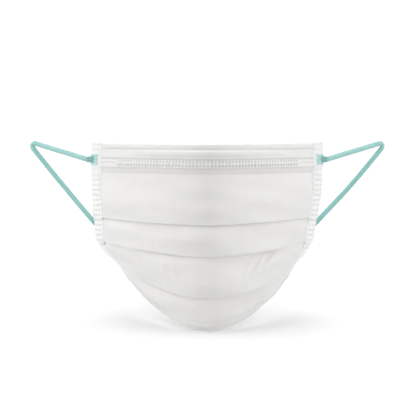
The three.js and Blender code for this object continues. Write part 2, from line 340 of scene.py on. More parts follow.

# %% [markdown]
# ## A piece of cloth
# Each cloth piece starts as the flat grid it was cut as. The grid's points go to their places on
# the form, and Solidify gives the sheet its thickness. Its UV map keeps the flat lengths, one unit
# for 200 mm, so that weaves and welds stay at their real size round every fold. A second value,
# pressed, says how much a weld has flattened the cloth. The material reads it later, for a smoother
# finish and a darker colour that is partly painted shade in the welds.

# %% Cloth helpers
UV_SPAN = 200 * MM
SMOOTH_ANGLE = math.radians(50)
DOT_RIM = (0.55, 1.15)


def laid_out(name, points, flat, values, value_name):
    """A grid whose points, flat places and values come from tables, with rows going down the cloth."""
    rows, columns = points.shape[0] - 1, points.shape[1] - 1
    bpy.ops.object.select_all(action="DESELECT")
    bpy.ops.mesh.primitive_grid_add(x_subdivisions=columns, y_subdivisions=rows, size=1)
    sheet = bpy.context.object
    sheet.name = sheet.data.name = name
    mesh = sheet.data
    co = np.empty(len(mesh.vertices) * 3)
    mesh.vertices.foreach_get("co", co)
    co = co.reshape(-1, 3)
    i = np.rint((co[:, 0] + 0.5) * columns).astype(int)
    j = np.rint((0.5 - co[:, 1]) * rows).astype(int)
    mesh.vertices.foreach_set("co", points[j, i].ravel())
    corner = np.empty(len(mesh.loops), int)
    mesh.loops.foreach_get("vertex_index", corner)
    layer = mesh.uv_layers.active
    layer.name = "cloth"
    layer.uv.foreach_set("vector", (flat[j, i][corner] / UV_SPAN + 0.5).ravel())
    attribute = mesh.attributes.new(value_name, "FLOAT", "POINT")
    attribute.data.foreach_set("value", values[j, i].astype(np.float32))
    mesh.update()
    return sheet


def cloth(name, points, flat, pressed, wall):
    """A sheet of cloth with a thickness, from grids of points, flat places and pressed shares."""
    sheet = laid_out(name, points, flat, pressed, "pressed")
    solid = sheet.modifiers.new("wall", "SOLIDIFY")
    solid.thickness = wall
    solid.offset = 0
    bpy.ops.object.modifier_apply(modifier=solid.name)
    bpy.ops.object.shade_smooth_by_angle(angle=SMOOTH_ANGLE)
    print(name, "faces:", len(sheet.data.polygons))
    return sheet


def half_turn(stations):
    """The angles of the stations inside a half turn, without its two ends."""
    return [math.pi * step / stations for step in range(1, stations)]


def lengths_down(down, out):
    """Length along a folded path, from its first station, for each column."""
    step = np.hypot(np.diff(down, axis=0), np.diff(out, axis=0))
    return np.concatenate([np.zeros((1, down.shape[1])), np.cumsum(step, axis=0)])


def weld_dots(x, down, row, pitch, radius, reach):
    """1 in the dots of a weld row and 0 off them, with soft rims."""
    shift = (x / pitch + 0.5) % 1 - 0.5
    away = np.hypot(shift * pitch, down - row) / radius
    return (1 - smooth(*DOT_RIM, away)) * (np.abs(x) < reach)


def groove(down, row, width):
    """A soft line pressed into the cloth at a distance down."""
    return np.exp(-(((down - row) / width) ** 2))


# The pressed share of a weld line also darkens its colour, partly as painted shade in the groove.
WeldLine = namedtuple("WeldLine", "down width depth pressed")


# %% [markdown]
# ## The pleated panel
# The panel runs down to a fold, turns back up behind itself, and turns down again: three times. A
# pleat lies flat at the sides, where the weld holds it, and is free between them. There its layers
# stand apart by a third to half a millimetre, and the lip of each fold stands off, more in some
# places than in others. That is what makes the dark shade under the folds.

# %% Sizes of the panel
PANEL_WALL = 0.28 * MM
PLY_AT_SIDE = 0.48 * MM
PLY_EXTRA = 0.18 * MM
PLY_AT_MIDDLE = 0.36 * MM
PLEAT_AT_SIDE = 12 * MM
PLEAT_AT_MIDDLE = 8.6 * MM
FOLDS = 3
WIRE_BELOW_TOP = 5.2 * MM
WIRE_WIDTH = 3.2 * MM
PANEL_START = WIRE_BELOW_TOP + WIRE_WIDTH / 2 + 0.3 * MM
PANEL_END_ABOVE_CHIN = 1.95 * MM
CHIN_FLAT = 7.5 * MM
BINDING_LEG = 8.6 * MM
WELD_FADE = 5 * MM
PANEL_EDGE = 1.6 * MM
HEM_BACK = 17.8 * MM
BACK_WELD_DEPTH = 0.33 * MM
BACK_WELD_WIDTH = 0.8 * MM
BACK_WELD_PRESSED = 0.35

Lip = namedtuple("Lip", "fold x reach height")
LIPS = [
    Lip(1, 26, 14, 0.6),
    Lip(1, 0, 12, 0.3),
    Lip(1, -24, 11, 0.3),
    Lip(2, -24, 11, 0.3),
    Lip(2, 10, 12, 0.35),
    Lip(2, 46, 10, 1.6),
    Lip(2, 33, 8, 0.7),
    Lip(3, 2, 14, 0.25),
    Lip(3, 34, 18, 1.0),
]
LIP_RUN = 9 * MM


def lip(fold, x):
    """How far the lip of a fold stands off at x."""
    out = np.zeros_like(x)
    for one in LIPS:
        if one.fold == fold:
            out = out + one.height * MM * np.exp(-(((x - one.x * MM) / (one.reach * MM)) ** 2))
    return out


def free_share(u):
    """0 where the side weld presses the layers and 1 on the free cloth."""
    from_edge = (1 - np.abs(u)) * HALF_SHEET
    return smooth(BINDING_LEG, BINDING_LEG + WELD_FADE, from_edge)


def pleat_depth(u):
    """How far the cloth is tucked up behind a fold."""
    return PLEAT_AT_MIDDLE + (PLEAT_AT_SIDE - PLEAT_AT_MIDDLE) * np.abs(u)


def swing(k, down, downs, ply):
    """How far run k lies behind the form: it starts under the fold above and comes forward."""
    if k == 1:
        return 0 * down
    settled = downs[k] - (CHIN_FLAT if k > FOLDS else 0)
    return 2 * ply * np.maximum(0, (settled - down) / (settled - downs[k - 1]))


# %% The folded path
RUN_STATIONS = [52, 17, 21, 24]
TURN_STATIONS = 6
HIDDEN_STATIONS = 5


def panel_path(u):
    """Distances down and out along the folded path, a row for each station and a column for each u."""
    downs = row_downs(u)
    x = u * HALF_SHEET
    ply = PLY_AT_SIDE + (PLY_AT_MIDDLE - PLY_AT_SIDE) * free_share(u)
    ply = ply + PLY_EXTRA * np.sin(math.pi * np.abs(u)) ** 2
    pleat = pleat_depth(u)
    path = []
    for k in range(1, FOLDS + 2):
        first = np.full_like(u, PANEL_START) if k == 1 else downs[k - 1]
        last = downs[k] if k <= FOLDS else downs[k] - PANEL_END_ABOVE_CHIN
        stand = lip(k, x) if k <= FOLDS else 0 * x

        def layer(down, level):
            flare = stand * smooth(0, 1, 1 - (downs[k] - down) / LIP_RUN) if level < 2 else 0
            path.append((down, flare - swing(k, down, downs, ply) - level * ply))

        bottom = last if k > FOLDS else last - ply / 2
        for share in np.linspace(0, 1, RUN_STATIONS[k - 1] + 1):
            layer(first + (bottom - first) * share, 0)
        if k > FOLDS:
            break
        for turn in half_turn(TURN_STATIONS):
            layer(bottom + ply / 2 * math.sin(turn), (1 - math.cos(turn)) / 2)
        top = downs[k] - pleat + ply / 2
        for share in np.linspace(0, 1, HIDDEN_STATIONS + 1):
            layer(bottom + (top - bottom) * share, 1)
        for turn in half_turn(TURN_STATIONS):
            layer(top - ply / 2 * math.sin(turn), 1 + (1 - math.cos(turn)) / 2)
        for share in np.linspace(0, 1, HIDDEN_STATIONS + 1)[:-1]:
            layer(top + (downs[k] - top) * share, 2)
    return np.array([p[0] for p in path]), np.array([p[1] for p in path])


# %% The panel
PANEL_COLUMNS = 210

panel_u = np.linspace(-1, 1, PANEL_COLUMNS + 1) * (1 - PANEL_EDGE / HALF_SHEET)
panel_down, panel_out = panel_path(panel_u)
panel_length = lengths_down(panel_down, panel_out)
panel_x = np.broadcast_to(panel_u * HALF_SHEET, panel_down.shape)
first_run = np.arange(len(panel_down))[:, None] <= RUN_STATIONS[0]
# The back weld's pressed share darkens its line, partly as painted shade in the groove.
back_weld = groove(panel_down, HEM_BACK, BACK_WELD_WIDTH) * first_run
panel = cloth(
    "pleated_cloth",
    place(panel_u, panel_down, panel_out - BACK_WELD_DEPTH * back_weld * free_share(panel_u)),
    np.stack([panel_x, panel_length - UV_SPAN / 2], axis=-1),
    BACK_WELD_PRESSED * back_weld,
    PANEL_WALL,
)

# %% [markdown]
# ## Hems
# A strip is folded over the top edge, and the wire lies inside it, so the strip bulges over the wire
# and dips at the weld lines. Below the wire, two rows of round weld dots hold the strip. Such dots
# are a millimetre across and would be lost in a coarse grid, so this grid is as fine as the dots
# need: six columns for each dot. The wire is a flat strip of its own, and the same function that
# makes the nose hem makes the chin hem.

# %% Hem helper
HEM_WALL = 0.3 * MM
HEM_BACK_OUT = 0.34 * MM
DOT_PITCH = 2.2 * MM
HEM_TURN_STATIONS = 8
HEM_TURN_END = 0.2 * MM


def hem(name, columns, edge_down, way, front_downs, back_downs, front_out, relief, back_relief):
    """A strip over an edge. Its front and back legs are lists of distances from the edge."""
    u = np.linspace(-1, 1, columns + 1) * (1 - PANEL_EDGE / HALF_SHEET)
    x = u * HALF_SHEET
    edge = edge_down(u)
    path = []
    for leg in back_downs[::-1]:
        path.append((leg, 0 * x - HEM_BACK_OUT - back_relief(x, leg), 0 * x))
    round_at = front_downs[0]
    for turn in half_turn(HEM_TURN_STATIONS):
        high = (front_out(round_at) * (1 - math.cos(turn)) - HEM_BACK_OUT * (1 + math.cos(turn))) / 2
        leg = round_at * (1 - math.sin(turn)) + HEM_TURN_END * math.sin(turn)
        path.append((leg, high + 0 * x, 0 * x))
    for leg in front_downs:
        lift, press = relief(x, leg)
        path.append((leg, front_out(leg) + lift * free_share(u), press))
    down = np.array([edge + way * leg for leg, _, _ in path])
    out = np.array([o for _, o, _ in path])
    pressed = np.array([p for _, _, p in path])
    if way < 0:
        down, out, pressed = down[::-1], out[::-1], pressed[::-1]
    flat = np.stack([np.broadcast_to(x, down.shape), lengths_down(down, out) - UV_SPAN / 2], axis=-1)
    return cloth(name, place(u, down, out), flat, pressed, HEM_WALL)


# %% The nose hem
NOSE_FRONT = 14.6 * MM
NOSE_TURN = 0.9 * MM
NOSE_COLUMNS = 477
NOSE_FRONT_STATIONS, NOSE_BACK_STATIONS = 46, 20
NOSE_OUT_AT_EDGE = 0.34 * MM
NOSE_OUT = 0.45 * MM
NOSE_OUT_GROWS = (5.5 * MM, 8 * MM)
WIRE_REACH = 52 * MM
WIRE_FADE = 6 * MM
DOT_REACH = 64.5 * MM
DOT_ROWS = [10.9 * MM, 13.2 * MM]
DOT_RADIUS = 0.62 * MM
SMALL_DOT_RADIUS = 0.5 * MM
DOT_DEPTH = 0.5 * MM
SMALL_DOT_DEPTH = 0.1 * MM
SMALL_DOT_PRESSED = 0.2
BEYOND_DOTS = (DOT_REACH - 1 * MM, DOT_REACH + 3 * MM)
LINE_OVER_WIRE = WeldLine(3.6 * MM, 0.55 * MM, 0.1 * MM, 0.1)
LINE_UNDER_WIRE = WeldLine(9.6 * MM, 0.6 * MM, 0.38 * MM, 0.7)
LINE_BESIDE_DOTS = WeldLine(12.1 * MM, 0.45 * MM, 0.3 * MM, 0.5)
SIDEWAYS = (20 * MM, 60 * MM)
DEEPER_SIDEWAYS = 0.2 * MM
MORE_PRESSED_SIDEWAYS = 0.35
RIDGE_HEIGHT = 0.95 * MM
RIDGE_AT_ENDS = 0.45
RIDGE_REACH = 34 * MM
RIDGE_BELOW_WIRE = 0.5 * MM
EDGE_PUFF = 0.1 * MM
EDGE_PUFF_DOWN = 1.9 * MM
EDGE_PUFF_WIDTH = 1.1 * MM
BAND_PUFF = 0.2 * MM
BAND_REACH = 1.9 * MM
DOT_PUFF = 0.35 * MM
BACK_BULGE = 0.6 * MM
BACK_BULGE_REACH = 0.8


def nose_front_out(leg):
    """The front leg lies close to the edge, on the panel and over nothing else."""
    return NOSE_OUT_AT_EDGE + (NOSE_OUT - NOSE_OUT_AT_EDGE) * smooth(*NOSE_OUT_GROWS, leg)


def over_wire(x, leg, way_down, half_width):
    """1 where the hem bulges over the wire, and 0 off it."""
    run = 1 - smooth(WIRE_REACH, WIRE_REACH + WIRE_FADE, np.abs(x))
    return run * np.exp(-(((leg - way_down) / half_width) ** 4))


def nose_back_relief(x, leg):
    """The back leg makes room for the wire too."""
    return BACK_BULGE * over_wire(x, leg, WIRE_BELOW_TOP, BACK_BULGE_REACH * WIRE_WIDTH)


def nose_relief(x, leg):
    """Bulge over the wire, weld lines and weld dots on the front leg."""
    ridge = RIDGE_AT_ENDS + (1 - RIDGE_AT_ENDS) * np.exp(-((x / RIDGE_REACH) ** 2))
    dots = sum(weld_dots(x, leg, row, DOT_PITCH, DOT_RADIUS, DOT_REACH) for row in DOT_ROWS)
    small = weld_dots(x, leg, LINE_OVER_WIRE.down, DOT_PITCH, SMALL_DOT_RADIUS, DOT_REACH)
    sideways = smooth(*SIDEWAYS, np.abs(x))
    beyond = smooth(*BEYOND_DOTS, np.abs(x))
    band = np.exp(-(((leg - LINE_BESIDE_DOTS.down) / BAND_REACH) ** 4))
    between = 0.5 - 0.5 * np.cos(2 * math.pi * x / DOT_PITCH)
    over_line = groove(leg, LINE_OVER_WIRE.down, LINE_OVER_WIRE.width)
    under_line = groove(leg, LINE_UNDER_WIRE.down, LINE_UNDER_WIRE.width)
    beside_line = beyond * groove(leg, LINE_BESIDE_DOTS.down, LINE_BESIDE_DOTS.width)
    lift = (
        RIDGE_HEIGHT * ridge * over_wire(x, leg, WIRE_BELOW_TOP + RIDGE_BELOW_WIRE, WIRE_WIDTH / 2)
        + EDGE_PUFF * groove(leg, EDGE_PUFF_DOWN, EDGE_PUFF_WIDTH)
        - (LINE_OVER_WIRE.depth + DEEPER_SIDEWAYS * sideways) * over_line
        - SMALL_DOT_DEPTH * small
        - LINE_UNDER_WIRE.depth * under_line
        + (BAND_PUFF + DOT_PUFF * between) * band * (1 - beyond)
        - LINE_BESIDE_DOTS.depth * beside_line
        - DOT_DEPTH * dots
    )
    # Painted shade, in part: the pressed share darkens the dots and weld lines in the material.
    pressed = (
        dots
        + SMALL_DOT_PRESSED * small
        + (LINE_OVER_WIRE.pressed + MORE_PRESSED_SIDEWAYS * sideways) * over_line
        + LINE_UNDER_WIRE.pressed * under_line
        + LINE_BESIDE_DOTS.pressed * beside_line
    )
    return lift, np.clip(pressed, 0, 1)


def top_edge(u):
    """The nose hem's edge is the top edge of the form."""
    return 0 * u


nose_front_legs = np.linspace(NOSE_TURN, NOSE_FRONT, NOSE_FRONT_STATIONS)
nose_back_legs = np.linspace(NOSE_TURN, HEM_BACK, NOSE_BACK_STATIONS)
nose_hem = hem(
    "nose_hem",
    NOSE_COLUMNS,
    top_edge,
    1,
    nose_front_legs,
    nose_back_legs,
    nose_front_out,
    nose_relief,
    nose_back_relief,
)

# %% The nose wire
STRIP_WIDTH = 2.6 * MM
STRIP_THICKNESS = 0.5 * MM
STRIP_COLUMNS, STRIP_ROWS = 160, 6
wire_x = np.linspace(-WIRE_REACH, WIRE_REACH, STRIP_COLUMNS + 1)
wire_across = np.linspace(-0.5, 0.5, STRIP_ROWS + 1)[:, None] * STRIP_WIDTH + 0 * wire_x
wire_strip = cloth(
    "flat_nose_wire",
    place(wire_x / HALF_SHEET, WIRE_BELOW_TOP + wire_across, 0 * wire_across),
    np.stack([wire_x + 0 * wire_across, wire_across], axis=-1),
    0 * wire_across,
    STRIP_THICKNESS,
)

# %% The chin hem
CHIN_LEG = 5 * MM
CHIN_COLUMNS = 440
CHIN_LINE = WeldLine(2.0 * MM, 0.4 * MM, 0.2 * MM, 0.25)
CHIN_DOT_ROW = 1.3 * MM
CHIN_DOT_PITCH = 1.9 * MM
CHIN_DOT_RADIUS = 0.5 * MM
CHIN_DOT_DEPTH = 0.15 * MM
CHIN_DOT_PRESSED = 0.25
CHIN_STATIONS_MM = (0.6, 4.9, 0.3)


def chin_relief(x, leg):
    """A weld line near the edge, with small dots above it."""
    dots = weld_dots(x, leg, CHIN_DOT_ROW, CHIN_DOT_PITCH, CHIN_DOT_RADIUS, HALF_SHEET)
    line = groove(leg, CHIN_LINE.down, CHIN_LINE.width)
    # Painted shade, in part: the pressed share darkens the chin's weld line and dots in the material.
    pressed = CHIN_LINE.pressed * line + CHIN_DOT_PRESSED * dots
    return -CHIN_LINE.depth * line - CHIN_DOT_DEPTH * dots, np.clip(pressed, 0, 1)


def chin_edge(u):
    """The chin hem's edge is the bottom edge of the form."""
    return row_downs(u)[-1]


chin_legs = np.append(np.arange(*CHIN_STATIONS_MM) * MM, CHIN_LEG)
chin_hem = hem(
    "chin_hem",
    CHIN_COLUMNS,
    chin_edge,
    -1,
    chin_legs,
    chin_legs[::2],
    lambda leg: HEM_BACK_OUT,
    chin_relief,
    lambda x, leg: 0 * x,
)

# %% [markdown]
# ## Side bindings
# Ultrasound has pressed a strip over each side edge, and its horn left level rows of three
# small pits. The strip is a narrow sheet bent round the edge. Its front leg lies tight on the panel
# and follows the step of every fold. Its back leg does the same behind the whole stack.

# %% Side bindings
BINDING_WALL = 0.3 * MM
BINDING_GAP = 0.03 * MM
BINDING_OVERHANG = 0.6 * MM
BINDING_TURN = 0.9 * MM
BINDING_SINKS_OVER = 2.6 * MM
OVERHANG_ENDS = (4 * MM, 7 * MM)
RIB_PITCH = 3.1 * MM
RIB_HEIGHT = 0.12 * MM
RIBS_START = (16 * MM, 26 * MM)
RIBS_END = (62 * MM, 70 * MM)
FAINT_RIBS = 0.4
PITS = [1.9 * MM, 4.2 * MM, 6.5 * MM]
PIT_SIZE = (0.95 * MM, 0.62 * MM)
PIT_RIM = (0.5, 1.1)
PIT_DEPTH = 0.25 * MM
BINDING_ROWS = 330
FRONT_COLUMNS, TURN_COLUMNS, BACK_COLUMNS = 36, 8, 10
BACK_LEG_FLAT_SHIFT = 10 * MM
STEP_ROWS = 3


def row_windows(values, reach):
    """The table shifted by up to reach rows either way, for a highest or mean value near each row."""
    padded = np.pad(values, ((reach, reach), (0, 0)), mode="edge")
    return [padded[k : k + len(values)] for k in range(2 * reach + 1)]


def welded_stack(u, down):
    """Front and back of the cloth that a binding is pressed on: the folded panel and both hems."""
    downs = row_downs(u)
    pleat = pleat_depth(u)
    front = np.zeros_like(down)
    for k in range(1, FOLDS + 2):
        front = np.where(down > downs[k - 1], -swing(k, down, downs, PLY_AT_SIDE), front)
    back = front - PANEL_WALL / 2
    for k in range(1, FOLDS + 1):
        tucked = (down > downs[k] - pleat) & (down < downs[k])
        back = np.where(tucked, back - 2 * PLY_AT_SIDE, back)
    front = front + PANEL_WALL / 2
    front = np.where(down < NOSE_FRONT, NOSE_OUT + HEM_WALL / 2, front)
    back = np.where(down < HEM_BACK, np.minimum(back, -HEM_BACK_OUT - HEM_WALL / 2), back)
    on_chin = down > downs[-1] - CHIN_LEG
    front = np.where(on_chin, HEM_BACK_OUT + HEM_WALL / 2, front)
    back = np.where(on_chin, np.minimum(back, -HEM_BACK_OUT - HEM_WALL / 2), back)
    highest = np.max(row_windows(front, STEP_ROWS), axis=0)
    lowest = np.min(row_windows(back, STEP_ROWS), axis=0)
    return tuple(np.mean(row_windows(table, STEP_ROWS), axis=0) for table in (highest, lowest))


def binding(name, side):
    """The strip on one side, with its rows of pits on the front leg."""
    edges = [(edge, 1.0) for edge in np.linspace(BINDING_LEG, BINDING_TURN, FRONT_COLUMNS)]
    for turn in half_turn(TURN_COLUMNS):
        edges.append((BINDING_TURN * (1 - math.sin(turn)), (1 + math.cos(turn)) / 2))
    edges += [(edge, 0.0) for edge in np.linspace(BINDING_TURN, BINDING_LEG, BACK_COLUMNS)]
    if side < 0:
        edges = edges[::-1]
    edge = np.array([e for e, _ in edges])
    front_share = np.array([f for _, f in edges])
    u = side * (1 - edge / HALF_SHEET)
    ends = row_downs(u)[-1][None, :]
    above = BINDING_OVERHANG * (1 - smooth(*OVERHANG_ENDS, edge))
    down = np.linspace(0, 1, BINDING_ROWS + 1)[:, None] * (ends + above) - above
    front, back = welded_stack(u, down)
    sunk = (BINDING_GAP + BINDING_WALL) * smooth(BINDING_LEG - BINDING_SINKS_OVER, BINDING_LEG, edge)
    off = BINDING_GAP + BINDING_WALL / 2 - sunk
    out = (front + off) * front_share + (back - off) * (1 - front_share)
    on_front = front_share == 1
    pressed = np.zeros_like(down)
    rows = (down / RIB_PITCH) % 1 - 0.5
    clear = FAINT_RIBS + (1 - FAINT_RIBS) * smooth(*RIBS_START, down) * (1 - smooth(*RIBS_END, down))
    # The pits' pressed share also darkens them, partly as painted shade in the pits.
    for pit in PITS:
        away = np.hypot((edge - pit) / PIT_SIZE[0], rows * RIB_PITCH / PIT_SIZE[1])
        pressed = np.maximum(pressed, (1 - smooth(*PIT_RIM, away)) * on_front * clear)
    ribs = RIB_HEIGHT * (1 - np.cos(2 * math.pi * rows)) * on_front * clear
    flat = np.stack([edge + BACK_LEG_FLAT_SHIFT * (1 - front_share) + 0 * down, down], axis=-1)
    return cloth(name, place(u, down, out + ribs - PIT_DEPTH * pressed), flat, pressed, BINDING_WALL)


bindings = {name: binding(f"edge_binding_{name}", side) for name, side in SIDES.items()}

# %% [markdown]
# ## Ear loops
# The loop is a round knitted elastic, 3 mm across, welded down at both ends. Its line is a list of
# chosen points. A smooth curve through them is cut into rings, and each ring is an oval that turns with
# the line. The stitches are part of the shape: ribs run along the loop and V-shaped stitches follow
# each other at 1.1 mm. At its ends the tube spreads and flattens, as under the welding horn.

# %% Route of the loops
LOOP_ROUTE = [
    (72.7, -3.1, 30.0),
    (73.7, -1.9, 30.2),
    (75.6, 0.9, 30.6),
    (79.2, 6.6, 31.4),
    (85.0, 15.6, 32.8),
    (92.0, 26.4, 34.4),
    (99.0, 37.2, 36.0),
    (105.0, 46.4, 37.4),
    (108.9, 52.1, 38.3),
    (110.9, 54.6, 38.4),
    (112.0, 55.8, 37.4),
    (111.7, 55.2, 35.9),
    (110.3, 53.4, 34.2),
    (104.0, 45.8, 27.6),
    (96.0, 36.2, 19.2),
    (88.0, 26.6, 10.8),
    (80.0, 16.9, 2.3),
    (74.0, 9.8, -4.0),
    (70.0, 5.6, -8.2),
    (66.6, 3.2, -11.6),
    (64.0, 1.3, -13.9),
]
CURVE_STEPS = 40


def curve_through(points, step):
    """A smooth centripetal curve through points, as points a step apart."""
    points = np.array(points)
    first, last = 2 * points[0] - points[1], 2 * points[-1] - points[-2]
    points = np.vstack([first, points, last])
    line = []
    for p0, p1, p2, p3 in zip(points, points[1:], points[2:], points[3:]):
        d0, d1, d2 = (math.sqrt(np.linalg.norm(b - a)) for a, b in ((p0, p1), (p1, p2), (p2, p3)))
        m1 = ((p1 - p0) / d0 - (p2 - p0) / (d0 + d1) + (p2 - p1) / d1) * d1
        m2 = ((p2 - p1) / d1 - (p3 - p1) / (d1 + d2) + (p3 - p2) / d2) * d1
        for t in np.linspace(0, 1, CURVE_STEPS, endpoint=False):
            line.append(hermite(p1, m1, p2, m2, t))
    line.append(points[-2])
    line = np.array(line)
    run = np.concatenate([[0], np.cumsum(np.linalg.norm(np.diff(line, axis=0), axis=1))])
    at = np.linspace(0, run[-1], int(run[-1] / step) + 1)
    return np.stack([np.interp(at, run, line[:, k]) for k in range(3)], axis=1), at


# %% [markdown]
# The weld pads are the ends of the loop, flattened onto the binding. Their places are worked out on
# the cloth: the upper one on the front face below the top corner, the lower one on the inner face.

# %% Weld pads
PAD_HEIGHT = 6.4 * MM
PAD_REACH = 5 * MM
PAD_FROM_EDGE = 0.6 * MM
PAD_WALL = 0.8 * MM
UPPER_PAD_DOWN = 10.4 * MM
LOWER_PAD_DOWN = 55.4 * MM
PAD_COLUMNS, PAD_ROWS = 26, 32
PAD_RIM = (0.72, 1.0)
PAD_RIM_DROP = 0.22 * MM
PAD_PIT_ROWS = (-0.58, 0, 0.58)
PAD_PIT_COLUMNS = (-0.42, 0.42)
PAD_PIT_SHARPNESS = (2.6, 3.6)
PAD_PIT_RIM = (0.45, 1.1)
PAD_PIT_DEPTH = 0.3 * MM
PAD_PRESSED = 0.3


def pad_out(u, down, face):
    """How far out the middle of a pad lies, on the front or the back leg of a binding."""
    front, back = welded_stack(u, down)
    return (front if face > 0 else back) + face * (BINDING_GAP + BINDING_WALL + PAD_WALL / 2)


def pad(name, side, down_to_middle, face):
    """A flattened end of the loop, with two columns of three pits in it."""
    edge = PAD_FROM_EDGE + PAD_REACH * np.linspace(0, 1, PAD_COLUMNS + 1)
    if side > 0:
        edge = edge[::-1]
    u = side * (1 - edge / HALF_SHEET)
    share = np.linspace(-1, 1, PAD_ROWS + 1)[:, None]
    down = down_to_middle + PAD_HEIGHT / 2 * share + 0 * edge
    across = (edge - PAD_FROM_EDGE) / PAD_REACH * 2 - 1
    rim = smooth(*PAD_RIM, np.abs(share)) + smooth(*PAD_RIM, np.abs(across))
    pits = np.zeros_like(down)
    for row in PAD_PIT_ROWS:
        for column in PAD_PIT_COLUMNS:
            away = np.hypot(
                (across - column) * PAD_PIT_SHARPNESS[0], (share - row) * PAD_PIT_SHARPNESS[1]
            )
            pits = np.maximum(pits, 1 - smooth(*PAD_PIT_RIM, away))
    out = pad_out(u, down, face) - face * (PAD_RIM_DROP * np.minimum(rim, 1) + PAD_PIT_DEPTH * pits)
    flat = np.stack([np.broadcast_to(edge, down.shape), down], axis=-1)
    return cloth(name, place(u, down, out), flat, np.clip(PAD_PRESSED + pits, 0, 1), PAD_WALL)


upper_pads = {}
lower_pads = {}
for name, side in SIDES.items():
    upper_pads[name] = pad(f"loop_end_upper_{name}", side, UPPER_PAD_DOWN, 1)
    lower_pads[name] = pad(f"loop_end_lower_{name}", side, LOWER_PAD_DOWN, -1)

# %% The knitted tube
LOOP_WIDTH = 3.2 * MM
LOOP_THICKNESS = 2.5 * MM
RING_STEP = 0.26 * MM
RING_SIDES = 30
WALES = 10
COURSE = 1.1 * MM
COURSE_SLANT = 0.9
STITCH_HEIGHT = 0.1 * MM
STITCH_ROUNDING = 0.7
STITCH_LOW = 0.55
STITCH_MEAN = 0.6
END_FLAT = 2.4 * MM
END_FULL = 5.2 * MM
END_WIDTH = 3.8 * MM
END_THICKNESS = 0.7 * MM
END_SMOOTHING = 0.8
END_STITCH = 0.8
# Painted shade: the lower run of each loop takes more of the darker valley colour.
LOWER_RUN_PAINTED_SHADE = 0.45
LOWER_RUN_STARTS = (-2 * MM, 6 * MM)


def pad_middle(side, down, face):
    """The middle of a weld pad, where the loop's line starts or ends."""
    u = np.array([side * (1 - (PAD_FROM_EDGE + PAD_REACH / 2) / HALF_SHEET)])
    down = np.array([[down]])
    return place(u, down, pad_out(u, down, face))[0, 0]


def tube(name, points, flat, stitch):
    """A closed tube from a grid of points whose first and last columns meet."""
    piece = laid_out(name, points, flat, stitch, "stitch")
    bpy.ops.object.mode_set(mode="EDIT")
    bpy.ops.mesh.select_all(action="SELECT")
    bpy.ops.mesh.remove_doubles(threshold=0.01 * MM)
    bpy.ops.mesh.select_all(action="DESELECT")
    bpy.ops.mesh.select_non_manifold()
    bpy.ops.mesh.edge_face_add()
    bpy.ops.mesh.select_all(action="SELECT")
    bpy.ops.mesh.normals_make_consistent(inside=False)
    bpy.ops.object.mode_set(mode="OBJECT")
    bpy.ops.object.shade_smooth()
    print(name, "faces:", len(piece.data.polygons))
    return piece


def loop(name, side):
    """One loop and the line it follows."""
    route = np.array(LOOP_ROUTE) * (side * MM, MM, MM)
    route[:, 0] += askew(route[:, 0], route[:, 2])
    start = pad_middle(side, UPPER_PAD_DOWN, 1)
    end = pad_middle(side, LOWER_PAD_DOWN, -1)
    line, at = curve_through(np.vstack([start, route, end]), RING_STEP)
    ways = np.gradient(line, axis=0)
    ways /= np.linalg.norm(ways, axis=1, keepdims=True)
    wide = np.empty_like(line)
    wide[0] = (0, 0, 1)
    for i in range(1, len(line)):
        wide[i] = wide[i - 1]
        wide[i] -= ways[i] * (wide[i] @ ways[i])
        wide[i] /= np.linalg.norm(wide[i])
    thin = np.cross(ways, wide)
    from_end = np.minimum(at, at[-1] - at)
    spread = 1 - smooth(END_FLAT, END_FULL, from_end)
    half_wide = (LOOP_WIDTH + (END_WIDTH - LOOP_WIDTH) * spread) / 2
    half_thin = (LOOP_THICKNESS + (END_THICKNESS - LOOP_THICKNESS) * spread) / 2
    angle = np.linspace(0, 2 * math.pi, RING_SIDES + 1)
    rib = (angle * WALES / (2 * math.pi)) % 1
    slant = np.abs(rib - 0.5)
    course = (at[:, None] / COURSE + COURSE_SLANT * slant[None, :]) % 1
    bead = STITCH_LOW + (1 - STITCH_LOW) * np.sin(math.pi * course)
    # The stitch value also picks the yarn's colour: where it is low, in the valleys, the darker colour
    # is painted shade.
    stitch = np.sin(math.pi * rib)[None, :] ** STITCH_ROUNDING * bead
    puff = STITCH_HEIGHT * (stitch - STITCH_MEAN) * (1 - END_SMOOTHING * spread[:, None])
    wide_at = (half_wide[:, None] + puff) * np.cos(angle)
    thin_at = (half_thin[:, None] + puff) * np.sin(angle)
    points = line[:, None] + wide_at[..., None] * wide[:, None] + thin_at[..., None] * thin[:, None]
    around = angle * LOOP_WIDTH / 2
    flat = np.stack(np.broadcast_arrays(around[None, :], at[:, None] - UV_SPAN / 2), axis=-1)
    tip = at[np.argmax(np.abs(line[:, 0]))]
    # Painted shade: from just past the tip, the lower run's stitch value is lowered, so it shows more
    # of the darker valley colour.
    lower_run_painted_shade = smooth(tip + LOWER_RUN_STARTS[0], tip + LOWER_RUN_STARTS[1], at)
    shown = 1 - (1 - LOWER_RUN_PAINTED_SHADE) * lower_run_painted_shade
    shown = shown + (END_STITCH - shown) * spread
    return tube(name, points, flat, stitch * shown[:, None]), line


loops = {}
loop_lines = {}
for name, side in SIDES.items():
    loops[name], loop_lines[name] = loop(f"elastic_loop_{name}", side)

# %% [markdown]
# ## Materials
# Colours are written as the eye reads them, in sRGB hex, and turned to the linear values that the
# shader wants by one function. A second function adds a node and sets it up. A third one fills its
# inputs, where a number stays a number and a node or a socket becomes a link.

# %% Material helpers


def linear(hex_colour, alpha=1.0):
    """A linear colour from an sRGB hex value."""
    channels = [int(hex_colour[i : i + 2], 16) / 255 for i in (1, 3, 5)]
    return [c / 12.92 if c <= 0.04045 else ((c + 0.055) / 1.055) ** 2.4 for c in channels] + [alpha]


